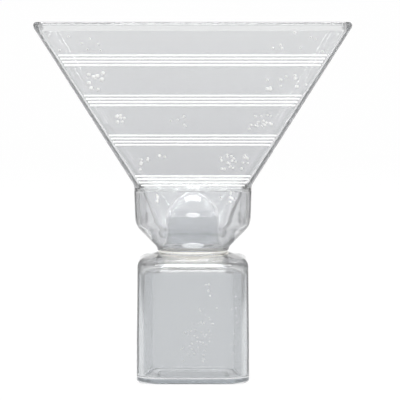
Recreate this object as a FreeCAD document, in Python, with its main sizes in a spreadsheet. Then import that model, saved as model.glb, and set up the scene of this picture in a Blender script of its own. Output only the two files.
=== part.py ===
import FreeCAD, Part
import math
import os
import Sketcher

# A dropping funnel made of glass: a square ribbed hopper stands in a collar, its spout reaching
# down over a hollow bell plug. The plug closes the collar's floor until it is lifted; what it lets
# through falls down the collar's stub into the receiver, a square bottle. +Z is up, and the origin
# is the middle of the receiver's bearing face.

VECTOR = FreeCAD.Vector

doc = FreeCAD.newDocument("dropping_funnel")

# Driving dimensions, in millimetres. A name ending in _level is a height above the bearing face, and
# one ending in _half is half the width across the flats of a square section.
DIMENSIONS = {
    # hopper: walls
    "rim_level": 161.4,
    "rim_half": 67.6,
    "rim_bead": 1.8,
    "rim_corner": 3.5,
    "wall_top_level": 160.6,
    "wall_top_half": 69.15,
    "wall_top_corner": 4.2,
    "foot_top_level": 90.1,
    "foot_top_half": 26.75,
    "foot_top_corner": 6.5,
    "ledge_level": 88.4,
    "ledge_half": 26.5,
    "ledge_corner": 8.2,
    # hopper: cavity and spout
    "cavity_top_level": 162.5,
    "cavity_top_half": 67.9,
    "cavity_top_corner": 1.6,
    "throat_half": 22.1,
    "throat_corner": 3.5,
    "spout_half": 23.5,
    "spout_corner": 5.0,
    "lip_level": 65.8,
    "lip_half": 14.8,
    "lip_wall": 1.5,
    # hopper: four bands of four ribs across the front wall
    "rib_radius": 0.6,
    "rib_pitch": 1.48,
    "rib_inset": 3.4,
    "band_a_level": 148.4,
    "band_b_level": 130.6,
    "band_c_level": 112.7,
    "band_d_level": 94.1,
    # seal between hopper and collar
    "seal_bottom_level": 87.2,
    "seal_half": 26.4,
    "seal_width": 2.3,
    "seal_corner": 8.3,
    # collar
    "collar_wall": 2.1,
    "collar_corner": 8.4,
    "collar_mouth_half": 26.5,
    "collar_knee_level": 73.6,
    "collar_knee_half": 26.0,
    "collar_foot_level": 59.1,
    "collar_foot_half": 16.3,
    "floor_level": 61.0,
    "floor_half": 14.6,
    "stub_radius": 11.5,
    "stub_bottom_level": 54.6,
    "bore_radius": 9.5,
    # seat ring
    "recess_radius": 14.1,
    "recess_level": 60.3,
    "seat_outer_radius": 14.0,
    "seat_inner_radius": 9.8,
    "seat_top_level": 61.2,
    "seat_edge": 0.25,
    # plug
    "skirt_radius": 14.0,
    "skirt_level": 62.9,
    "barrel_radius": 12.35,
    "barrel_level": 66.0,
    "plug_wall": 1.6,
    "seam_level": 75.1,
    "spigot_level": 72.6,
    "apex_level": 85.85,
    "dome_radius": 15.42,
    "dome_inset": 2.4,
    "fit_gap": 0.1,
    # neck gasket
    "gasket_outer_radius": 13.2,
    "flange_radius": 15.9,
    "flange_bottom_level": 58.3,
    "sleeve_bottom_level": 55.4,
    # receiver
    "receiver_wall": 2.9,
    "receiver_half": 25.5,
    "receiver_corner": 9.5,
    "base_edge": 1.8,
    "shoulder_level": 52.1,
    "shoulder_half": 24.9,
    "neck_half": 16.6,
    "neck_radius": 13.3,
    "neck_level": 55.0,
    "base_thickness": 2.0,
}

sheet = doc.addObject("Spreadsheet::Sheet", "Sheet")
for row, (alias, value) in enumerate(DIMENSIONS.items(), start=1):
    sheet.set(f"A{row}", alias)
    sheet.set(f"B{row}", str(value))
    sheet.setAlias(f"B{row}", alias)
doc.recompute()


def dim(formula):
    """The formula with every driving dimension written as the sheet's cell."""
    words = formula.replace("(", "( ").replace(")", " )").split()
    return " ".join(f"Sheet.{word}" if word in DIMENSIONS else word for word in words)


def number(formula):
    """What the formula comes to now, used to place sketch geometry before it is constrained."""
    return float(sheet.evalExpression(dim(formula)))


def new_body(node):
    body = doc.addObject("PartDesign::Body", node)
    body.Label = node
    return body


def new_sketch(body, name, role):
    sketch = body.newObject("Sketcher::SketchObject", name)
    plane = next(item for item in body.Origin.OriginFeatures if item.Role == role)
    sketch.AttachmentSupport = (plane, "")
    sketch.MapMode = "FlatFace"
    return sketch


def bind(sketch, kind, *where, size):
    """Adds a dimension to a sketch and ties it to the sheet."""
    index = sketch.addConstraint(Sketcher.Constraint(kind, *where, number(size)))
    sketch.setExpression(f"Constraints[{index}]", dim(size))


def draw_square(sketch, half_formula, corner_formula):
    """Adds a square with rounded corners, centred on the sketch's origin."""
    first = len(sketch.Geometry)
    half = number(half_formula)
    corner = number(corner_formula)
    flat = half - corner
    for quarter in range(4):
        turn = FreeCAD.Rotation(VECTOR(0, 0, 1), 90 * quarter)
        start = turn.multVec(VECTOR(half, -flat, 0))
        end = turn.multVec(VECTOR(half, flat, 0))
        centre = turn.multVec(VECTOR(flat, flat, 0))
        sketch.addGeometry(Part.LineSegment(start, end))
        circle = Part.Circle(centre, VECTOR(0, 0, 1), corner)
        sketch.addGeometry(Part.ArcOfCircle(circle, quarter * math.pi / 2, (quarter + 1) * math.pi / 2))
    for side in range(8):
        sketch.addConstraint(Sketcher.Constraint("Tangent", first + side, 2, first + (side + 1) % 8, 1))
    for side in (0, 4):
        sketch.addConstraint(Sketcher.Constraint("Vertical", first + side))
        sketch.addConstraint(Sketcher.Constraint("Horizontal", first + side + 2))
    for side in (3, 5, 7):
        sketch.addConstraint(Sketcher.Constraint("Equal", first + 1, first + side))
    bind(sketch, "Radius", first + 1, size=corner_formula)
    bind(sketch, "DistanceX", -1, 1, first, 1, size=half_formula)
    bind(sketch, "DistanceY", -1, 1, first + 2, 1, size=half_formula)
    bind(sketch, "DistanceX", first + 4, 1, -1, 1, size=half_formula)
    bind(sketch, "DistanceY", first + 6, 1, -1, 1, size=half_formula)


def square_at(body, name, level, half, corner):
    sketch = new_sketch(body, name, "XY_Plane")
    sketch.setExpression(".AttachmentOffset.Base.z", dim(level))
    draw_square(sketch, half, corner)
    return sketch


def square_loft(body, name, kind, sections):
    """Lofts straight walls through rounded squares, each given as (level, half, corner)."""
    sketches = [square_at(body, f"{name}_{place}", *section) for place, section in enumerate(sections)]
    loft = body.newObject(f"PartDesign::{kind}Loft", name)
    loft.Profile = sketches[0]
    loft.Sections = sketches[1:]
    loft.Ruled = True
    return loft


def turned(body, name, kind, points):
    """Turns a closed outline of (radius, level) points about Z."""
    sketch = new_sketch(body, f"{name}_outline", "XZ_Plane")
    places = [VECTOR(number(radius), number(level), 0) for radius, level in points]
    count = len(points)
    for side in range(count):
        sketch.addGeometry(Part.LineSegment(places[side], places[(side + 1) % count]))
    for side in range(count):
        sketch.addConstraint(Sketcher.Constraint("Coincident", side, 2, (side + 1) % count, 1))
    for side, (radius, level) in enumerate(points):
        if abs(places[side].x) < 1e-9:
            sketch.addConstraint(Sketcher.Constraint("PointOnObject", side, 1, -2))
        else:
            bind(sketch, "DistanceX", -1, 1, side, 1, size=radius)
        bind(sketch, "DistanceY", -1, 1, side, 1, size=level)
    feature = body.newObject(f"PartDesign::{kind}", name)
    feature.Profile = sketch
    feature.ReferenceAxis = (sketch, ["V_Axis"])
    feature.Angle = 360.0
    return feature


def ogive(curve_radius, first_angle, last_angle, steps):
    """Points along the dome's outline, a circle whose centre is dome_inset beyond the axis."""
    base_level = "(apex_level - sqrt(dome_radius ^ 2 - dome_inset ^ 2))"
    points = []
    for step in range(steps + 1):
        angle = f"({first_angle} + {step / steps} * ({last_angle} - {first_angle}))"
        radius = f"{curve_radius} * cos({angle}) - dome_inset"
        level = f"{base_level} + {curve_radius} * sin({angle})"
        points.append((radius, level))
    return points


# Hopper: walls with ribs across the front one, the ledge that it stands on, and the spout.
hopper = new_body("hopper")
square_loft(hopper, "walls", "Additive", [
    ("ledge_level", "ledge_half", "ledge_corner"),
    ("foot_top_level", "foot_top_half", "foot_top_corner"),
    ("wall_top_level", "wall_top_half", "wall_top_corner"),
])
square_loft(hopper, "spout", "Additive", [
    ("lip_level", "lip_half", "lip_half - 0.2"),
    ("ledge_level", "spout_half", "spout_corner"),
])
square_loft(hopper, "cavity", "Subtractive", [
    ("lip_level", "lip_half - lip_wall", "lip_half - lip_wall - 0.2"),
    ("ledge_level", "throat_half", "throat_corner"),
    ("cavity_top_level", "cavity_top_half", "cavity_top_corner"),
])
rib_count = 0
for band in ("band_a_level", "band_b_level", "band_c_level", "band_d_level"):
    for place in range(4):
        level = f"({band} - {place} * rib_pitch)"
        slope = "(wall_top_half - foot_top_half) / (wall_top_level - foot_top_level)"
        face_half = f"(foot_top_half + ({level} - foot_top_level) * {slope})"
        rib_sketch = new_sketch(hopper, f"rib_{rib_count}_end", "YZ_Plane")
        centre = VECTOR(-number(face_half), number(level), 0)
        rib_sketch.addGeometry(Part.Circle(centre, VECTOR(0, 0, 1), number("rib_radius")))
        bind(rib_sketch, "Radius", 0, size="rib_radius")
        bind(rib_sketch, "DistanceX", 0, 3, -1, 1, size=face_half)
        bind(rib_sketch, "DistanceY", -1, 1, 0, 3, size=level)
        rib = hopper.newObject("PartDesign::Pad", f"rib_{rib_count}")
        rib.Profile = rib_sketch
        rib.SideType = "Symmetric"
        rib.setExpression("Length", dim(f"2 * ({face_half} - rib_inset)"))
        rib_count += 1
rim_path = square_at(hopper, "rim_path", "rim_level", "rim_half", "rim_corner")
rim_end = new_sketch(hopper, "rim_end", "XZ_Plane")
rim_end.addGeometry(Part.Circle(VECTOR(number("rim_half"), number("rim_level"), 0), VECTOR(0, 0, 1), 1))
bind(rim_end, "Radius", 0, size="rim_bead")
bind(rim_end, "DistanceX", -1, 1, 0, 3, size="rim_half")
bind(rim_end, "DistanceY", -1, 1, 0, 3, size="rim_level")
rim = hopper.newObject("PartDesign::AdditivePipe", "rim")
rim.Profile = rim_end
rim.Spine = (rim_path, [f"Edge{side + 1}" for side in range(8)])

# Clear seal: a square ring on the collar's mouth, under the hopper's ledge.
seal = new_body("hopper_seal")
seal_outline = square_at(seal, "seal_outline", "seal_bottom_level", "seal_half", "seal_corner")
draw_square(seal_outline, "seal_half - seal_width", "seal_corner - seal_width")
seal_pad = seal.newObject("PartDesign::Pad", "seal_pad")
seal_pad.Profile = seal_outline
seal_pad.setExpression("Length", dim("ledge_level - seal_bottom_level"))

# Collar: upright square walls, pinched in to a round waist, with a floor and a stub below.
collar = new_body("collar")
square_loft(collar, "collar_walls", "Additive", [
    ("collar_foot_level", "collar_foot_half", "collar_foot_half - 0.2"),
    ("collar_foot_level + 0.8", "collar_foot_half + 0.3", "collar_foot_half"),
    ("collar_foot_level + 2.2", "collar_foot_half + 1.1", "collar_foot_half + 0.8"),
    ("collar_foot_level + 4.3", "collar_foot_half + 3.2", "collar_foot_half + 1.2"),
    ("collar_foot_level + 7.0", "collar_foot_half + 5.6", "collar_corner + 6.6"),
    ("collar_foot_level + 10.2", "collar_foot_half + 7.9", "collar_corner + 3.1"),
    ("collar_knee_level - 2.1", "collar_knee_half - 0.6", "collar_corner + 1.0"),
    ("collar_knee_level", "collar_knee_half", "collar_corner"),
    ("seal_bottom_level", "collar_mouth_half", "collar_corner"),
])
square_loft(collar, "collar_cavity", "Subtractive", [
    ("floor_level", "floor_half", "floor_half - 0.2"),
    ("floor_level + 2.6", "floor_half + 2.0", "floor_half + 0.4"),
    ("floor_level + 5.3", "floor_half + 4.4", "collar_corner + 4.6"),
    ("floor_level + 8.5", "floor_half + 7.1", "collar_corner + 1.4"),
    ("floor_level + 10.9", "collar_knee_half - collar_wall - 0.6", "collar_corner - collar_wall + 0.9"),
    ("collar_knee_level + 0.4", "collar_knee_half - collar_wall", "collar_corner - collar_wall"),
    ("seal_bottom_level", "collar_mouth_half - collar_wall", "collar_corner - collar_wall"),
])
turned(collar, "stub", "Revolution", [
    ("0", "stub_bottom_level"),
    ("stub_radius", "stub_bottom_level"),
    ("stub_radius", "collar_foot_level + 0.4"),
    ("0", "collar_foot_level + 0.4"),
])
turned(collar, "bore_and_recess", "Groove", [
    ("0", "stub_bottom_level - 1"),
    ("bore_radius", "stub_bottom_level - 1"),
    ("bore_radius", "recess_level"),
    ("recess_radius", "recess_level"),
    ("recess_radius", "floor_level + 0.5"),
    ("0", "floor_level + 0.5"),
])

# Seat ring: lies in the recess of the collar's floor, and the plug closes on it.
seat = new_body("seat_ring")
turned(seat, "seat", "Revolution", [
    ("seat_inner_radius", "recess_level"),
    ("seat_outer_radius", "recess_level"),
    ("seat_outer_radius", "seat_top_level - seat_edge"),
    ("seat_outer_radius - seat_edge", "seat_top_level"),
    ("seat_inner_radius + seat_edge", "seat_top_level"),
    ("seat_inner_radius", "seat_top_level - seat_edge"),
])

# Plug: an open barrel with a flared skirt, closed by a pointed dome whose spigot sits in the barrel.
barrel = new_body("plug_barrel")
turned(barrel, "barrel", "Revolution", [
    ("skirt_radius", "seat_top_level"),
    ("skirt_radius", "seat_top_level + 0.5"),
    ("barrel_radius + 0.6", "skirt_level"),
    ("barrel_radius", "barrel_level"),
    ("barrel_radius", "seam_level"),
    ("barrel_radius - plug_wall", "seam_level"),
    ("barrel_radius - plug_wall", "barrel_level"),
    ("skirt_radius - plug_wall", "seat_top_level"),
])
tip = new_body("plug_tip")
inner_curve = "(dome_radius - plug_wall)"
spigot_bore = "(barrel_radius - 2 * plug_wall)"
outer_points = ogive("dome_radius", "acos((barrel_radius + dome_inset) / dome_radius)",
                     "acos(dome_inset / dome_radius)", 10)
inner_points = ogive(inner_curve, f"acos(dome_inset / {inner_curve})",
                     f"acos(({spigot_bore} + dome_inset) / {inner_curve})", 8)
turned(tip, "dome", "Revolution", outer_points + inner_points + [
    (spigot_bore, "spigot_level"),
    ("barrel_radius - plug_wall - fit_gap", "spigot_level"),
    ("barrel_radius - plug_wall - fit_gap", "seam_level"),
    ("barrel_radius", "seam_level"),
])

# Neck gasket: a sleeve round the collar's stub, its flange between collar and receiver.
gasket = new_body("neck_gasket")
turned(gasket, "sleeve", "Revolution", [
    ("stub_radius + fit_gap", "sleeve_bottom_level"),
    ("gasket_outer_radius", "sleeve_bottom_level"),
    ("gasket_outer_radius", "flange_bottom_level"),
    ("flange_radius", "flange_bottom_level"),
    ("flange_radius", "collar_foot_level"),
    ("stub_radius + fit_gap", "collar_foot_level"),
])

# Receiver: a square bottle with rounded shoulders and a round neck.
receiver = new_body("receiver")
square_loft(receiver, "bottle", "Additive", [
    ("0", "receiver_half - base_edge", "receiver_corner - base_edge"),
    ("0.3 * base_edge", "receiver_half - 0.3 * base_edge", "receiver_corner - 0.3 * base_edge"),
    ("base_edge", "receiver_half", "receiver_corner"),
    ("shoulder_level - 14", "receiver_half - 0.2", "receiver_corner"),
    ("shoulder_level", "shoulder_half", "receiver_corner"),
    ("shoulder_level + 1.8", "shoulder_half - 0.5", "receiver_corner + 0.4"),
    ("shoulder_level + 3.2", "shoulder_half - 1.5", "receiver_corner + 1.5"),
    ("shoulder_level + 3.9", "shoulder_half - 2.7", "receiver_corner + 3.0"),
    ("shoulder_level + 4.6", "shoulder_half - 4.6", "receiver_corner + 5.5"),
    ("shoulder_level + 5.5", "neck_half + 1.4", "neck_half + 0.6"),
    ("flange_bottom_level", "neck_half", "neck_half - 0.2"),
])
square_loft(receiver, "bottle_cavity", "Subtractive", [
    ("base_thickness", "receiver_half - receiver_wall - 1.9", "receiver_corner - receiver_wall - 1.4"),
    ("base_thickness + 1.7", "receiver_half - receiver_wall", "receiver_corner - receiver_wall"),
    ("shoulder_level - 1.6", "shoulder_half - receiver_wall", "receiver_corner - receiver_wall"),
    ("shoulder_level + 0.4", "shoulder_half - receiver_wall - 0.8", "receiver_corner - 1.9"),
    ("shoulder_level + 1.8", "shoulder_half - receiver_wall - 2.4", "receiver_corner + 0.5"),
    ("shoulder_level + 2.7", "neck_radius + 2.9", "neck_radius + 1.6"),
    ("neck_level", "neck_radius + 0.3", "neck_radius"),
])
turned(receiver, "neck", "Groove", [
    ("0", "neck_level - 0.5"),
    ("neck_radius", "neck_level - 0.5"),
    ("neck_radius", "flange_bottom_level + 1"),
    ("0", "flange_bottom_level + 1"),
])

doc.recompute()

NODES = [hopper, seal, collar, seat, barrel, tip, gasket, receiver]

for item in doc.Objects:
    if {"Invalid", "Error"} & set(item.State):
        raise RuntimeError(f"{item.Name} did not recompute: {item.State}")

# What a cut removes is compared with the body just before it, so that one that misses is caught.
for body, cut in ((hopper, "cavity"), (collar, "collar_cavity"), (collar, "bore_and_recess"),
                  (receiver, "bottle_cavity"), (receiver, "neck")):
    feature = doc.getObject(cut)
    if feature.BaseFeature.Shape.Volume - feature.Shape.Volume < 100:
        raise RuntimeError(f"{cut} removes nothing from {body.Label}")

os.makedirs("parts", exist_ok=True)
for body in NODES:
    shape = body.Shape
    if shape.isNull() or not shape.isValid() or len(shape.Solids) != 1:
        raise RuntimeError(f"{body.Label} is not one valid solid")
    body.Placement = FreeCAD.Placement(VECTOR(0, 0, 0), FreeCAD.Rotation())
    shape.exportStep(f"parts/{body.Label}.step")
    box = shape.BoundBox
    print(f"{body.Label}: {shape.Volume:.0f} mm3, z {box.ZMin:.2f} to {box.ZMax:.2f}, x {box.XMin:.2f} to {box.XMax:.2f}")
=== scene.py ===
import math
import random

import bmesh
import bpy
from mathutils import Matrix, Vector


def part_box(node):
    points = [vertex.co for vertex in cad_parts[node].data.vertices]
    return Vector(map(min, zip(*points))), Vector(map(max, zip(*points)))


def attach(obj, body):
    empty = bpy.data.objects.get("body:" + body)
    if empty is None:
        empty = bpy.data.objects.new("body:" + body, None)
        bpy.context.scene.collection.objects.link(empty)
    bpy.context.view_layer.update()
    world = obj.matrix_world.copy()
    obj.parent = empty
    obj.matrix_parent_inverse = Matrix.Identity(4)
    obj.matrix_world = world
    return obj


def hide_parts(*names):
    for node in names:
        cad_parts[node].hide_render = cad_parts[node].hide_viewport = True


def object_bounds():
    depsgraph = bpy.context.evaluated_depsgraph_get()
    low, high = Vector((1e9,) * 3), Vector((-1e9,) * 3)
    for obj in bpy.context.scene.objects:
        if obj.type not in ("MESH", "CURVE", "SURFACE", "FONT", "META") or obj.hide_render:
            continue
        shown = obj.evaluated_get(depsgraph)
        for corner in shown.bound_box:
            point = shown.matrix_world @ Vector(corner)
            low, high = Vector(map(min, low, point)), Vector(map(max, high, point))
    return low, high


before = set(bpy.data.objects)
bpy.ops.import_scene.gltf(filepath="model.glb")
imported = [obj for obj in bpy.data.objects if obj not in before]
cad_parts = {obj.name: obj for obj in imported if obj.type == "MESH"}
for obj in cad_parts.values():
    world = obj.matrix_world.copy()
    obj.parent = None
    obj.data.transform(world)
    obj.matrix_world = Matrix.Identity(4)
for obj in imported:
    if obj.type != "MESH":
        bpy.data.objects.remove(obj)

# A dropping funnel in clear glass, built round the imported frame. Lengths are in metres, as in the
# frame; the small sizes that the frame's boxes don't give are written as millimetres times MM.

MM = 0.001
cad_low, cad_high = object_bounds()

hopper_low, hopper_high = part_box("hopper")
seal_low, seal_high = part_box("hopper_seal")
collar_low, collar_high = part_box("collar")
seat_low, seat_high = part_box("seat_ring")
barrel_low, barrel_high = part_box("plug_barrel")
tip_low, tip_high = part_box("plug_tip")
gasket_low, gasket_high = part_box("neck_gasket")
receiver_low, receiver_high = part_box("receiver")

# Fractions of the way along a square's flat side where a ring has points besides the flat's ends.
FLAT_STOPS = (0.02, 0.06, 0.15, 0.35, 0.65, 0.85, 0.94, 0.98)
CORNER_STEPS = 12
# A round ring keeps a hair of flat side, so that no two of its points meet.
ROUNDEST = 0.9999
# A bend uses up to this share of the straights beside it, so that two bends never meet.
BEND_SHARE = 0.49
# Straights longer than LONG_STRAIGHT get a row HOLD away from each end.
LONG_STRAIGHT = 3 * MM
HOLD = 0.4 * MM
# Edges sharper than this, in degrees, aren't shaded smooth.
SHARP_EDGE = 50


# Shapes. A profile is a list of (half width, level, corner radius) rows, one ring of points each.

def ring(half, level, corner):
    """The points of a rounded square centred on the axis; corner equal to half gives a circle."""
    corner = min(corner, half * ROUNDEST)
    flat = half - corner
    points = []
    for quarter in range(4):
        turn = quarter * math.pi / 2
        along = Vector((-math.sin(turn), math.cos(turn)))
        out = Vector((math.cos(turn), math.sin(turn)))
        for stop in FLAT_STOPS:
            points.append(out * half + along * flat * (2 * stop - 1))
        for step in range(CORNER_STEPS + 1):
            angle = turn + math.pi / 2 * step / CORNER_STEPS
            centre = (out + along) * flat
            points.append(centre + Vector((math.cos(angle), math.sin(angle))) * corner)
    return [Vector((point.x, point.y, level)) for point in points]


def bend(rows, steps=8):
    """Rounds a profile's outline: each row is (half, level, corner, radius of the bend there)."""
    smooth = []
    for place, (half, level, corner, radius) in enumerate(rows):
        before = rows[place - 1] if place else None
        after = rows[place + 1] if place + 1 < len(rows) else None
        if not radius or before is None or after is None:
            smooth.append((half, level, corner))
            continue
        here = Vector((half, level))
        back = Vector(before[:2]) - here
        ahead = Vector(after[:2]) - here
        opening = back.angle(ahead)
        room = BEND_SHARE * min(back.length, ahead.length)
        reach = min(radius / math.tan(opening / 2), room)
        start = here + back.normalized() * reach
        end = here + ahead.normalized() * reach
        for step in range(steps + 1):
            share = step / steps
            first = start.lerp(here, share)
            second = here.lerp(end, share)
            point = first.lerp(second, share)
            other, distance = (before, back.length) if share < 0.5 else (after, ahead.length)
            pull = reach / distance * abs(1 - 2 * share)
            smooth.append((point.x, point.y, corner + (other[2] - corner) * pull))
    return smooth


def meshed(name, vertices, faces):
    """A smooth-shaded piece with its normals turned outward."""
    mesh = bpy.data.meshes.new(name)
    mesh.from_pydata(vertices, [], faces)
    work = bmesh.new()
    work.from_mesh(mesh)
    bmesh.ops.recalc_face_normals(work, faces=work.faces)
    work.to_mesh(mesh)
    work.free()
    mesh.shade_smooth()
    mesh.set_sharp_from_angle(angle=math.radians(SHARP_EDGE))
    piece = bpy.data.objects.new(name, mesh)
    bpy.context.scene.collection.objects.link(piece)
    return piece


def held(profile, closed):
    """The profile with rows added near the ends of its long straights, so that they shade flat."""
    rows = []
    for place, row in enumerate(profile):
        rows.append(row)
        if place + 1 == len(profile) and not closed:
            break
        following = profile[(place + 1) % len(profile)]
        length = math.dist(row[:2], following[:2])
        if length > LONG_STRAIGHT:
            for share in (HOLD / length, 1 - HOLD / length):
                rows.append(tuple(start + (end - start) * share for start, end in zip(row, following)))
    return rows


def lofted(name, profile, closed):
    """A piece through the profile's rings: closed on itself like a tyre, or capped at both ends."""
    rings = [ring(*row) for row in held(profile, closed)]
    count = len(rings[0])
    vertices = [point for points in rings for point in points]
    faces = []
    for row in range(len(rings) if closed else len(rings) - 1):
        low = row * count
        high = (row + 1) % len(rings) * count
        for side in range(count):
            beside = (side + 1) % count
            faces.append((low + side, low + beside, high + beside, high + side))
    if not closed:
        faces.append(tuple(reversed(range(count))))
        faces.append(tuple(range(len(vertices) - count, len(vertices))))
    return meshed(name, vertices, faces)


def merged(shapes):
    """The vertices and faces of several small closed shapes as one list of each."""
    all_vertices, all_faces = [], []
    for vertices, faces in shapes:
        first = len(all_vertices)
        all_faces += [[first + corner for corner in face] for face in faces]
        all_vertices += vertices
    return all_vertices, all_faces


def arc(centre_half, centre_level, corner, radius, first, last, steps=14):
    """Profile rows round a bead, from one angle to the other, in degrees."""
    rows = []
    for step in range(steps + 1):
        angle = math.radians(first + (last - first) * step / steps)
        offset = radius * math.cos(angle)
        rows.append((centre_half + offset, centre_level + radius * math.sin(angle), corner + offset))
    return rows


# Materials. A film is the colour that each surface of the glass filters light by.

GLASS_IOR = 1.47
SILICONE_IOR = 1.41
GLASS_TINT = (0.60, 0.64, 0.67, 1.0)
# Layer Weight's facing value where glass starts to be seen edge-on, and where it fully is.
EDGE_FROM = 0.55
EDGE_TO = 0.95
# The darker part of a mottle, as a share of its colour.
MOTTLE = 0.92


def new_material(name):
    material = bpy.data.materials.new(name)
    material.use_nodes = True
    nodes = material.node_tree.nodes
    return material, nodes, material.node_tree.links, nodes["Principled BSDF"]


def add_noise(nodes, scale, detail):
    noise = nodes.new("ShaderNodeTexNoise")
    noise.inputs["Scale"].default_value = scale
    noise.inputs["Detail"].default_value = detail
    return noise


def add_relief(nodes, links, shader, noise, strength, distance):
    """Bumps the surface by a noise."""
    bump = nodes.new("ShaderNodeBump")
    bump.inputs["Strength"].default_value = strength
    bump.inputs["Distance"].default_value = distance
    links.new(noise.outputs["Fac"], bump.inputs["Height"])
    links.new(bump.outputs["Normal"], shader.inputs["Normal"])


def glass(name, film, clear=0.93, edge=None, sheen=0.0, density=10.0, graded=None, painted_volume_glow=0.0):
    """Slightly milky glass; edge is how clear it is seen edge-on, where more of it is looked through.

    graded gives (height, film colour) stops up the part, lowest first, which take the film's place.
    A painted glow can be given as well: light that the depth of the glass gives off, per metre of it
    looked through.
    """
    material, nodes, links, shader = new_material(name)
    shader.inputs["Base Color"].default_value = (*film, 1.0)
    shader.inputs["Transmission Weight"].default_value = clear
    shader.inputs["IOR"].default_value = GLASS_IOR
    shader.inputs["Roughness"].default_value = 0.0
    shader.inputs["Sheen Weight"].default_value = sheen
    shader.inputs["Sheen Roughness"].default_value = 0.4
    if edge is not None:
        weight = nodes.new("ShaderNodeLayerWeight")
        weight.inputs["Blend"].default_value = 0.5
        clearing = nodes.new("ShaderNodeMapRange")
        clearing.inputs["From Min"].default_value = EDGE_FROM
        clearing.inputs["From Max"].default_value = EDGE_TO
        clearing.inputs["To Min"].default_value = clear
        clearing.inputs["To Max"].default_value = edge
        links.new(weight.outputs["Facing"], clearing.inputs["Value"])
        links.new(clearing.outputs["Result"], shader.inputs["Transmission Weight"])
    if graded:
        place = nodes.new("ShaderNodeTexCoord")
        split = nodes.new("ShaderNodeSeparateXYZ")
        links.new(place.outputs["Object"], split.inputs["Vector"])
        bottom, top = graded[0][0], graded[-1][0]
        height = nodes.new("ShaderNodeMapRange")
        height.inputs["From Min"].default_value = bottom
        height.inputs["From Max"].default_value = top
        links.new(split.outputs["Z"], height.inputs["Value"])
        ramp = nodes.new("ShaderNodeValToRGB")
        ramp.color_ramp.elements[0].color = (*graded[0][1], 1.0)
        ramp.color_ramp.elements[1].color = (*graded[-1][1], 1.0)
        for level, color in graded[1:-1]:
            stop = ramp.color_ramp.elements.new((level - bottom) / (top - bottom))
            stop.color = (*color, 1.0)
        links.new(height.outputs["Result"], ramp.inputs["Fac"])
        links.new(ramp.outputs["Color"], shader.inputs["Base Color"])
    add_relief(nodes, links, shader, add_noise(nodes, 6.0, 1.0), 0.04, 1.0 * MM)
    volume = nodes.new("ShaderNodeVolumeAbsorption")
    volume.inputs["Color"].default_value = GLASS_TINT
    volume.inputs["Density"].default_value = density
    inside = volume.outputs["Volume"]
    if painted_volume_glow:
        # Painted glow: the glass gives off light through its depth, lit by no lamp.
        lit = nodes.new("ShaderNodeEmission")
        lit.inputs["Strength"].default_value = painted_volume_glow
        both = nodes.new("ShaderNodeAddShader")
        links.new(inside, both.inputs[0])
        links.new(lit.outputs["Emission"], both.inputs[1])
        inside = both.outputs["Shader"]
    links.new(inside, nodes["Material Output"].inputs["Volume"])
    return material


def silicone(name, color, transmission, roughness, painted_glow=0.0, bumps=0.1):
    """Rubber, plastic, white glass or water, finely mottled; its glow is painted light, an even glow that
    stands in for light scattered inside it and falling on it.
    """
    material, nodes, links, shader = new_material(name)
    noise = add_noise(nodes, 260.0, 4.0)
    ramp = nodes.new("ShaderNodeValToRGB")
    ramp.color_ramp.elements[0].color = (*[part * MOTTLE for part in color], 1.0)
    ramp.color_ramp.elements[1].color = (*color, 1.0)
    links.new(noise.outputs["Fac"], ramp.inputs["Fac"])
    links.new(ramp.outputs["Color"], shader.inputs["Base Color"])
    shader.inputs["Transmission Weight"].default_value = transmission
    shader.inputs["Roughness"].default_value = roughness
    shader.inputs["IOR"].default_value = SILICONE_IOR
    add_relief(nodes, links, shader, noise, bumps, 0.1 * MM)
    # Painted glow: the material gives off light in its own colour, lit by no lamp.
    shader.inputs["Emission Color"].default_value = (*color, 1.0)
    shader.inputs["Emission Strength"].default_value = painted_glow
    return material


# The hopper's film is painted light just above the seal, where the ledge shows dark, a little darker
# above that, and near black at the rim's top edge as a painted dark outline.
hopper_glass = glass("hopper_glass", (0.82, 0.825, 0.83), clear=0.91, edge=0.55, graded=[
    (seal_low.z, (0.98, 0.985, 0.99)),
    (seal_high.z + 2 * MM, (0.94, 0.945, 0.95)),
    (seal_high.z + 4 * MM, (0.76, 0.765, 0.775)),
    (hopper_high.z - 1.3 * MM, (0.82, 0.825, 0.83)),
    (hopper_high.z, (0.08, 0.08, 0.08)),
])
collar_glass = glass("collar_glass", (0.84, 0.845, 0.855), edge=0.6)
# The plug's tip and barrel glow through their depth: painted light.
tip_glass = glass("plug_tip_glass", (0.90, 0.905, 0.91), clear=0.96, sheen=1.0, painted_volume_glow=100.0)
barrel_glass = glass("plug_barrel_glass", (0.68, 0.695, 0.71), clear=0.96, sheen=1.0, painted_volume_glow=130.0)
# The bottle's film is painted dark in its lowest 0.8 mm, as painted shade along the base's edge, and
# painted light over the top of the neck and shoulder.
receiver_glass = glass("receiver_glass", (0.77, 0.785, 0.80), clear=0.91, density=40.0, graded=[
    (receiver_low.z, (0.45, 0.46, 0.47)),
    (receiver_low.z + 0.8 * MM, (0.78, 0.79, 0.80)),
    (receiver_high.z - 9 * MM, (0.78, 0.79, 0.80)),
    (receiver_high.z - 5 * MM, (0.98, 0.98, 0.98)),
])
rib_glass = silicone("rib_glass", (0.95, 0.95, 0.95), 0.1, 0.25, bumps=0.0)
# The drops' glow is a painted highlight.
drop_water_painted_glow = silicone("drop_water_painted_glow", (0.98, 0.98, 0.98), 0.3, 0.1, painted_glow=0.5, bumps=0.0)
bead_water = silicone("bead_water", (0.88, 0.88, 0.88), 0.15, 0.1, bumps=0.0)
faint_water = silicone("faint_water", (0.87, 0.87, 0.88), 0.4, 0.1, bumps=0.0)
clear_seal = silicone("clear_seal", (0.93, 0.94, 0.94), 0.9, 0.1)
# The seat ring's and the gasket's glow is painted light that brightens the waist and the neck.
seat_plastic = silicone("seat_plastic", (0.93, 0.92, 0.90), 0.0, 0.3, painted_glow=0.15)
gasket_rubber = silicone("gasket_rubber", (0.95, 0.93, 0.88), 0.0, 0.12, painted_glow=0.3)


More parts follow.
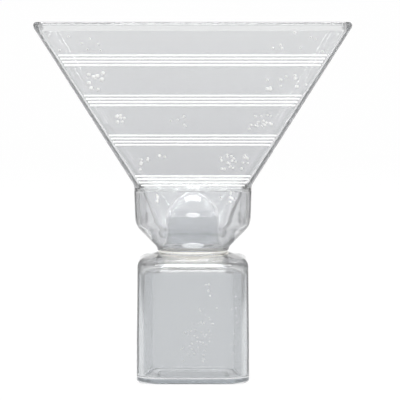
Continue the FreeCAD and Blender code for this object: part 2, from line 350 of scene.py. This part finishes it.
def finished(piece, material, body, node):
    """Gives a piece that takes the place of a CAD node its material and body, and hides the node."""
    piece.data.materials.append(material)
    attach(piece, body)
    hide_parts(node)


def added(name, shapes, material, body):
    """A piece made of many small shapes, added to what the CAD nodes show."""
    piece = meshed(name, *merged(shapes))
    piece.data.materials.append(material)
    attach(piece, body)


# Hopper: spout, ledge, sloping walls and a rolled rim.

bead = 1.5 * MM
rim_level = hopper_high.z - bead
rim_half = hopper_high.x - bead
rim_corner = 3.8 * MM
spout_bore = 13.2 * MM
spout_half = 14.8 * MM
spout_top_half = 23.5 * MM
wall_top = (hopper_high.x - 0.25 * MM, hopper_high.z - 2.6 * MM)
foot_top = (collar_high.x + 0.25 * MM, seal_high.z + 1.7 * MM)
throat_half = 22.1 * MM
inner_top = (hopper_high.x - 3.05 * MM, hopper_high.z - 3.2 * MM)

hopper_profile = bend([
    (spout_bore, hopper_low.z, 13.0 * MM, 0),
    (spout_bore + 0.1 * MM, hopper_low.z + 0.3 * MM, 13.1 * MM, 0),
    (throat_half, seal_high.z, 3.5 * MM, 3.0 * MM),
    (*inner_top, 1.6 * MM, 0),
])
hopper_profile += arc(rim_half, rim_level, rim_corner, bead, 178, -30)
hopper_profile += bend([
    (*wall_top, 4.2 * MM, 0),
    (*foot_top, 6.5 * MM, 7.0 * MM),
    (collar_high.x, seal_high.z, 8.2 * MM, 0.4 * MM),
    (spout_top_half, seal_high.z, 5.0 * MM, 0.6 * MM),
    (spout_half, hopper_low.z, 14.6 * MM, 0.5 * MM),
    (spout_bore + 0.05 * MM, hopper_low.z, 13.05 * MM, 0),
])
hopper = lofted("funnel_hopper", hopper_profile, closed=True)
finished(hopper, hopper_glass, "hopper", "hopper")

# Ribs: four bands of four half-round bars across the outside of the front wall.
RIB_RADIUS = 0.42 * MM
RIB_PITCH = 1.44 * MM
RIB_INSET = 3.4 * MM
RIBS_IN_BAND = 4
RIB_LIFT = 0.01 * MM
BAND_HEIGHTS = [height * MM for height in (58.55, 40.75, 22.85, 4.2)]
wall_slope = (wall_top[0] - foot_top[0]) / (wall_top[1] - foot_top[1])


def rib_bar(half, level, rounds=12, end_steps=6):
    """Vertices and faces of one bar: a half-round, its flat on the wall and its ends rounded off."""
    slant = math.atan(wall_slope)
    out = Vector((0, -math.cos(slant), -math.sin(slant)))
    up = Vector((0, -math.sin(slant), math.cos(slant)))
    middle = Vector((0, -half, level)) + out * RIB_LIFT
    stations = []
    for step in range(1, end_steps + 1):
        angle = math.pi / 2 * step / end_steps
        from_end = RIB_RADIUS * (1 - math.cos(math.pi / 2 - angle))
        stations.append((RIB_INSET - half + from_end, math.sin(angle)))
    stations += [(-x, size) for x, size in reversed(stations)]
    vertices = []
    for x, size in stations:
        for step in range(rounds + 1):
            angle = math.pi * step / rounds
            offset = up * math.cos(angle) + out * math.sin(angle)
            vertices.append(middle + Vector((x, 0, 0)) + offset * RIB_RADIUS * size)
    row = rounds + 1
    faces = [tuple(range(row)), tuple(reversed(range(len(vertices) - row, len(vertices))))]
    for station in range(len(stations) - 1):
        for side in range(row):
            beside = (side + 1) % row
            low = station * row
            faces.append((low + side, low + beside, low + row + beside, low + row + side))
    return vertices, faces


def hopper_half(level):
    """Half the hopper's outer width at a height on its sloping walls."""
    return foot_top[0] + (level - foot_top[1]) * wall_slope


rib_bars = []
for band in BAND_HEIGHTS:
    for place in range(RIBS_IN_BAND):
        level = foot_top[1] + band - place * RIB_PITCH
        rib_bars.append(rib_bar(hopper_half(level), level))
added("front_ribs", rib_bars, rib_glass, "hopper")

# Seal between hopper and collar.
seal_half = seal_high.x
seal_inner = seal_half - 2.3 * MM
seal_edge = 0.35 * MM
seal = lofted("funnel_seal", bend([
    (seal_half - 1.2 * MM, seal_low.z, 7.1 * MM, 0),
    (seal_half, seal_low.z, 8.3 * MM, seal_edge),
    (seal_half, seal_high.z, 8.3 * MM, seal_edge),
    (seal_inner, seal_high.z, 6.0 * MM, seal_edge),
    (seal_inner, seal_low.z, 6.0 * MM, seal_edge),
    (seal_half - 1.3 * MM, seal_low.z, 7.0 * MM, 0),
], 5), closed=True)
finished(seal, clear_seal, "collar", "hopper_seal")

# Collar: upright walls, knee, cone and waist; floor with a recess; stub below.
mouth_level = collar_high.z
mouth_half = collar_high.x
foot_level = gasket_high.z + 0.03 * MM  # Just clear of the gasket that it turns on.
floor_level = seat_high.z - 0.2 * MM
knee_half = mouth_half - 0.5 * MM
collar_wall = 2.1 * MM
outer_corner = 8.4 * MM
inner_corner = 6.3 * MM
foot_radius = 16.3 * MM
waist_radius = 16.9 * MM
stub_radius = 11.5 * MM
bore_radius = 9.5 * MM
recess_radius = 14.1 * MM
floor_radius = 14.9 * MM
collar = lofted("funnel_collar", bend([
    (mouth_half - 1.0 * MM, mouth_level, 7.4 * MM, 0),
    (mouth_half, mouth_level, outer_corner, 0.6 * MM),
    (knee_half, foot_level + 12.4 * MM, outer_corner, 10.5 * MM),
    (waist_radius, foot_level + 1.7 * MM, waist_radius, 3.0 * MM),
    (foot_radius, foot_level, foot_radius, 0.3 * MM),
    (stub_radius, foot_level, stub_radius, 0.4 * MM),
    (stub_radius, collar_low.z, stub_radius, 0.5 * MM),
    (bore_radius, collar_low.z, bore_radius, 0.5 * MM),
    (bore_radius, seat_low.z, bore_radius, 0.2 * MM),
    (recess_radius, seat_low.z, recess_radius, 0.1 * MM),
    (recess_radius, floor_level, recess_radius, 0.1 * MM),
    (floor_radius, floor_level, floor_radius, 0.6 * MM),
    (knee_half - collar_wall, foot_level + 12.8 * MM, inner_corner, 5.5 * MM),
    (mouth_half - collar_wall, mouth_level, inner_corner, 0.6 * MM),
    (mouth_half - 1.1 * MM, mouth_level, 7.3 * MM, 0),
]), closed=True)
finished(collar, collar_glass, "collar", "collar")

# Seat ring in the collar's floor.
seat_radius = seat_high.x
seat_bore = 9.8 * MM
seat = lofted("funnel_seat", bend([
    (12.0 * MM, seat_low.z, 12.0 * MM, 0),
    (seat_radius, seat_low.z, seat_radius, 0.2 * MM),
    (seat_radius, seat_high.z, seat_radius, 0.3 * MM),
    (seat_bore, seat_high.z, seat_bore, 0.3 * MM),
    (seat_bore, seat_low.z, seat_bore, 0.2 * MM),
    (11.9 * MM, seat_low.z, 11.9 * MM, 0),
], 5), closed=True)
finished(seat, seat_plastic, "collar", "seat_ring")

# Plug: barrel with a flared skirt, and the pointed tip that closes it, whose spigot is in the barrel.
plug_wall = 0.9 * MM
barrel_radius = tip_high.x
skirt_radius = barrel_high.x
seam_level = barrel_high.z
barrel_bore = barrel_radius - plug_wall
skirt_bore = skirt_radius - plug_wall
barrel = lofted("plug_barrel_glass", bend([
    (12.9 * MM, barrel_low.z, 12.9 * MM, 0),
    (skirt_radius, barrel_low.z, skirt_radius, 0.3 * MM),
    (skirt_radius - 0.1 * MM, barrel_low.z + 0.6 * MM, skirt_radius - 0.1 * MM, 0.6 * MM),
    (barrel_radius, barrel_low.z + 2.6 * MM, barrel_radius, 3.5 * MM),
    (barrel_radius, seam_level, barrel_radius, 0.35 * MM),
    (barrel_bore, seam_level, barrel_bore, 0.3 * MM),
    (barrel_bore, barrel_low.z + 3.0 * MM, barrel_bore, 3.5 * MM),
    (skirt_bore, barrel_low.z, skirt_bore, 0.3 * MM),
    (12.8 * MM, barrel_low.z, 12.8 * MM, 0),
]), closed=True)
finished(barrel, barrel_glass, "plug", "plug_barrel")

# The dome's outline is an arc of dome_radius whose centre is dome_inset beyond the axis.
dome_radius = 16.63 * MM
dome_inset = 3.61 * MM
dome_rise = 1.0 * MM
dome_base = tip_high.z + dome_rise - math.sqrt(dome_radius ** 2 - dome_inset ** 2)


def dome_rows(radius, from_half, to_half, steps=18):
    """Rows along an arc of that radius about the dome's centre, between two distances from the axis."""
    first = math.acos((from_half + dome_inset) / radius)
    last = math.acos((to_half + dome_inset) / radius)
    rows = []
    for step in range(steps + 1):
        angle = first + (last - first) * step / steps
        half = radius * math.cos(angle) - dome_inset
        rows.append((half, dome_base + radius * math.sin(angle), half))
    return rows


spigot_half = barrel_bore - 0.1 * MM
spigot_bore = barrel_radius - 2 * plug_wall
point_half = 0.02 * MM
tip_profile = dome_rows(dome_radius, point_half, barrel_radius - 0.1 * MM)
tip_profile += bend([
    (barrel_radius, seam_level + 0.35 * MM, barrel_radius, 0),
    (barrel_radius, seam_level, barrel_radius, 0.3 * MM),
    (spigot_half, seam_level, spigot_half, 0.1 * MM),
    (spigot_half, tip_low.z, spigot_half, 0.4 * MM),
    (spigot_bore, tip_low.z, spigot_bore, 0.4 * MM),
    (spigot_bore, seam_level + 2.0 * MM, spigot_bore, 0),
])
tip_profile += dome_rows(dome_radius - plug_wall, spigot_bore, point_half)
tip = lofted("plug_tip_glass", tip_profile, closed=False)
finished(tip, tip_glass, "plug", "plug_tip")

# Neck gasket: sleeve and flange.
sleeve_radius = 13.2 * MM
sleeve_bore = 11.6 * MM
flange_radius = gasket_high.x
gasket = lofted("neck_sleeve", bend([
    (12.4 * MM, gasket_low.z, 12.4 * MM, 0),
    (sleeve_radius, gasket_low.z, sleeve_radius, 0.3 * MM),
    (sleeve_radius, receiver_high.z, sleeve_radius, 0.2 * MM),
    (flange_radius, receiver_high.z, flange_radius, 0.35 * MM),
    (flange_radius, gasket_high.z, flange_radius, 0.35 * MM),
    (sleeve_bore, gasket_high.z, sleeve_bore, 0.3 * MM),
    (sleeve_bore, gasket_low.z, sleeve_bore, 0.3 * MM),
    (12.3 * MM, gasket_low.z, 12.3 * MM, 0),
], 5), closed=True)
finished(gasket, gasket_rubber, "gasket", "neck_gasket")

# Receiver: square bottle with rounded shoulders, a round neck and a base hollowed a little underneath.
bottle_half = receiver_high.x
inner_half = bottle_half - 2.9 * MM
bottle_corner = 9.5 * MM
bottle_inner_corner = 8.2 * MM
bottle_foot = receiver_low.z
base_hollow = bottle_foot + 0.3 * MM
base_top = bottle_foot + 2.0 * MM
bottle_middle = bottle_foot + 20 * MM
neck_top = receiver_high.z
neck_bore = 13.3 * MM
neck_half = 16.4 * MM
shoulder_radius = 18.2 * MM
receiver = lofted("receiver_bottle", bend([
    (0.5 * MM, base_hollow, 0.4 * MM, 0),
    (15.0 * MM, base_hollow, 5.0 * MM, 3.0 * MM),
    (18.0 * MM, bottle_foot, 6.5 * MM, 2.0 * MM),
    (bottle_half, bottle_foot, bottle_corner, 1.9 * MM),
    (bottle_half, bottle_middle, bottle_corner, 40 * MM),
    (bottle_half - 0.4 * MM, neck_top - 2.6 * MM, bottle_corner, 5.6 * MM),
    (shoulder_radius, neck_top - 0.7 * MM, shoulder_radius, 1.6 * MM),
    (neck_half, neck_top, neck_half, 0.3 * MM),
    (neck_bore, neck_top, neck_bore, 0.4 * MM),
    (neck_bore, neck_top - 3.3 * MM, neck_bore, 0.8 * MM),
    (inner_half - 0.4 * MM, neck_top - 5.0 * MM, bottle_inner_corner, 4.4 * MM),
    (inner_half, bottle_middle, bottle_inner_corner, 40 * MM),
    (inner_half, base_top, bottle_inner_corner, 2.0 * MM),
    (0.5 * MM, base_top, 0.4 * MM, 0),
]), closed=False)
finished(receiver, receiver_glass, "receiver", "receiver")


# Beads of condensation: squashed balls scattered over the outer faces of the front walls.
BEAD_AROUND = 12
BEAD_RINGS = 6
# How far a bead's centre stands off the wall, and how thick it is, as shares of its radius and width.
BEAD_STAND = 0.15
BEAD_FLAT = 0.5
DROP_FLAT = 0.1
random.seed(31)


def bead_ball(centre, out, radius, flat):
    """Vertices and faces of one bead: a ball of that radius, flattened towards the wall."""
    side = Vector((1, 0, 0))
    up = out.cross(side)
    vertices = [centre + out * radius * flat]
    for step in range(1, BEAD_RINGS):
        tilt = math.pi * step / BEAD_RINGS
        for turn in range(BEAD_AROUND):
            angle = 2 * math.pi * turn / BEAD_AROUND
            across = side * math.cos(angle) + up * math.sin(angle)
            vertices.append(centre + (out * math.cos(tilt) * flat + across * math.sin(tilt)) * radius)
    vertices.append(centre - out * radius * flat)
    last = len(vertices) - 1
    faces = []
    for turn in range(BEAD_AROUND):
        beside = (turn + 1) % BEAD_AROUND
        faces.append((0, 1 + turn, 1 + beside))
        for row in range(BEAD_RINGS - 2):
            low = 1 + row * BEAD_AROUND
            faces.append((low + turn, low + BEAD_AROUND + turn, low + BEAD_AROUND + beside, low + beside))
        low = last - BEAD_AROUND
        faces.append((last, low + beside, low + turn))
    return vertices, faces


def beads(name, body, clusters, wall_half, slope, water=bead_water):
    """Beads on a wall: clusters of (x from, x to, z from, z to, count, smallest, largest) in mm."""
    slant = math.atan(slope)
    out = Vector((0, -math.cos(slant), -math.sin(slant)))
    balls = []
    for x_from, x_to, z_from, z_to, count, smallest, largest in clusters:
        for _ in range(count):
            x = random.uniform(x_from, x_to) * MM
            z = random.uniform(z_from, z_to) * MM
            radius = random.uniform(smallest, largest) * MM
            centre = Vector((x, -wall_half(z), z)) + out * radius * BEAD_STAND
            balls.append(bead_ball(centre, out, radius, BEAD_FLAT))
    added(name, balls, water, body)


beads("hopper_beads", "hopper", [
    (-58, -40, 150, 159, 7, 0.4, 0.65),
    (29, 57, 150, 159, 9, 0.4, 0.65),
    (-47, -39, 133, 141, 9, 0.55, 1.0),
    (32, 50, 133, 141, 12, 0.5, 0.85),
    (-34, -30, 116, 123, 8, 0.55, 0.85),
    (25, 38, 116, 123, 16, 0.4, 0.75),
    (-14, 5, 116, 122, 6, 0.3, 0.5),
    (-24, -20, 97, 104, 6, 0.55, 0.85),
    (-15, -9, 103, 105, 2, 0.6, 0.9),
    (12, 25, 97, 105, 22, 0.4, 0.7),
], hopper_half, wall_slope)
beads("collar_beads", "collar", [
    (-17.5, -15, 81, 87, 4, 0.45, 0.75),
    (12, 18, 81, 87, 7, 0.45, 0.75),
], lambda z: mouth_half - 0.1 * MM, 0.0)
beads("receiver_beads", "receiver", [
    (5, 11, 39, 46, 4, 0.35, 0.5),
    (2, 11, 27, 36, 12, 0.2, 0.4),
    (-4, 9, 18, 28, 24, 0.2, 0.42),
    (-6, 6, 10, 19, 18, 0.2, 0.42),
    (16, 20, 12, 40, 10, 0.2, 0.35),
], lambda z: bottle_half, 0.0, faint_water)


def drop(half_width, squash, level, front):
    """Vertices and faces of a wide drop, wrapped round a cylinder of radius front."""
    vertices, faces = bead_ball(Vector((0, 0, 0)), Vector((0, -1, 0)), half_width, DROP_FLAT)
    wrapped = []
    for vertex in vertices:
        depth = vertex.y - front + vertex.x ** 2 / (2 * front)
        wrapped.append(Vector((vertex.x, depth, vertex.z * squash + level)))
    return wrapped, faces


# Two drops of liquid cling to the front of the plug, one at its seam and one at its skirt; their glow is
# a painted highlight.
added("plug_drops", [
    drop(3.2 * MM, 0.33, seam_level + 0.9 * MM, barrel_radius),
    drop(5.0 * MM, 0.26, barrel_low.z + 1.2 * MM, barrel_radius + 0.1 * MM),
], drop_water_painted_glow, "plug")


# Floor and backdrop in one curved sheet, lights and camera.

def plain_sheet(name, rows, material):
    vertices = [corner for row in rows for corner in row]
    faces = [(2 * n, 2 * n + 1, 2 * n + 3, 2 * n + 2) for n in range(len(rows) - 1)]
    mesh = bpy.data.meshes.new(name)
    mesh.from_pydata(vertices, [], faces)
    mesh.shade_smooth()
    sheet = bpy.data.objects.new(name, mesh)
    bpy.context.scene.collection.objects.link(sheet)
    sheet.data.materials.append(material)


# The paper glows evenly round the object, and less to the sides.
paper, nodes, links, shader = new_material("backdrop_paper")
shader.inputs["Base Color"].default_value = (0.05, 0.05, 0.05, 1.0)
shader.inputs["Roughness"].default_value = 1.0
shader.inputs["Specular IOR Level"].default_value = 0.0
shader.inputs["Emission Color"].default_value = (1.0, 1.0, 1.0, 1.0)
shader.inputs["Emission Strength"].default_value = 0.95
place = nodes.new("ShaderNodeTexCoord")
split = nodes.new("ShaderNodeSeparateXYZ")
links.new(place.outputs["Object"], split.inputs["Vector"])
sideways = nodes.new("ShaderNodeMath")
sideways.operation = "ABSOLUTE"
links.new(split.outputs["X"], sideways.inputs[0])
fade = nodes.new("ShaderNodeMapRange")
fade.interpolation_type = "SMOOTHSTEP"
fade.inputs["From Min"].default_value = 0.28
fade.inputs["From Max"].default_value = 0.55
fade.inputs["To Min"].default_value = 1.0
fade.inputs["To Max"].default_value = 0.42
links.new(sideways.outputs["Value"], fade.inputs["Value"])
links.new(fade.outputs["Result"], shader.inputs["Emission Color"])

PAPER_HALF = 3.0
PAPER_FRONT = -3.5
PAPER_TOP = 3.0
SWEEP_START = 2.2
SWEEP_RADIUS = 0.9
SWEEP_STEPS = 16
paper_line = [(PAPER_FRONT, 0.0)]
for step in range(SWEEP_STEPS + 1):
    angle = math.pi / 2 * step / SWEEP_STEPS
    depth = SWEEP_START + SWEEP_RADIUS * math.sin(angle)
    paper_line.append((depth, SWEEP_RADIUS * (1 - math.cos(angle))))
paper_line.append((SWEEP_START + SWEEP_RADIUS, PAPER_TOP))
paper_rows = [[Vector((side, y, z)) for side in (-PAPER_HALF, PAPER_HALF)] for y, z in paper_line]
plain_sheet("studio_floor", paper_rows, paper)


def softbox(name, place, target, width, height, power):
    light = bpy.data.lights.new(name, "AREA")
    light.shape = "RECTANGLE"
    light.size = width
    light.size_y = height
    light.energy = power
    lamp = bpy.data.objects.new(name, light)
    lamp.location = place
    lamp.rotation_euler = (Vector(target) - Vector(place)).to_track_quat("-Z", "Y").to_euler()
    bpy.context.scene.collection.objects.link(lamp)


middle = (cad_low + cad_high) / 2
softbox("softbox_top", (0, 0.25, 1.35), middle, 1.2, 0.6, 25.0)
softbox("softbox_key", (0, -1.5, 1.3), middle, 1.4, 0.6, 24.0)

scene = bpy.context.scene
world = bpy.data.worlds.new("studio")
world.use_nodes = True
background = world.node_tree.nodes["Background"]
background.inputs["Color"].default_value = (0.5, 0.5, 0.5, 1.0)
background.inputs["Strength"].default_value = 1.5
scene.world = world

# The camera is level with the rim and looks slightly down at the middle of the object.
view_distance = 1.395
aim = Vector((3.2 * MM, 0, cad_high.z / 2 + 0.3 * MM))
camera_data = bpy.data.cameras.new("camera")
camera_data.lens = 275
camera_data.sensor_width = 36
camera = bpy.data.objects.new("camera", camera_data)
camera.location = (aim.x, -view_distance, cad_high.z)
camera.rotation_euler = (aim - camera.location).to_track_quat("-Z", "Y").to_euler()
scene.collection.objects.link(camera)
bpy.context.scene.camera = camera

scene.view_settings.view_transform = "Standard"
scene.cycles.max_bounces = 24
scene.cycles.transmission_bounces = 24
scene.cycles.glossy_bounces = 8
scene.cycles.transparent_max_bounces = 16
scene.cycles.use_denoising = True
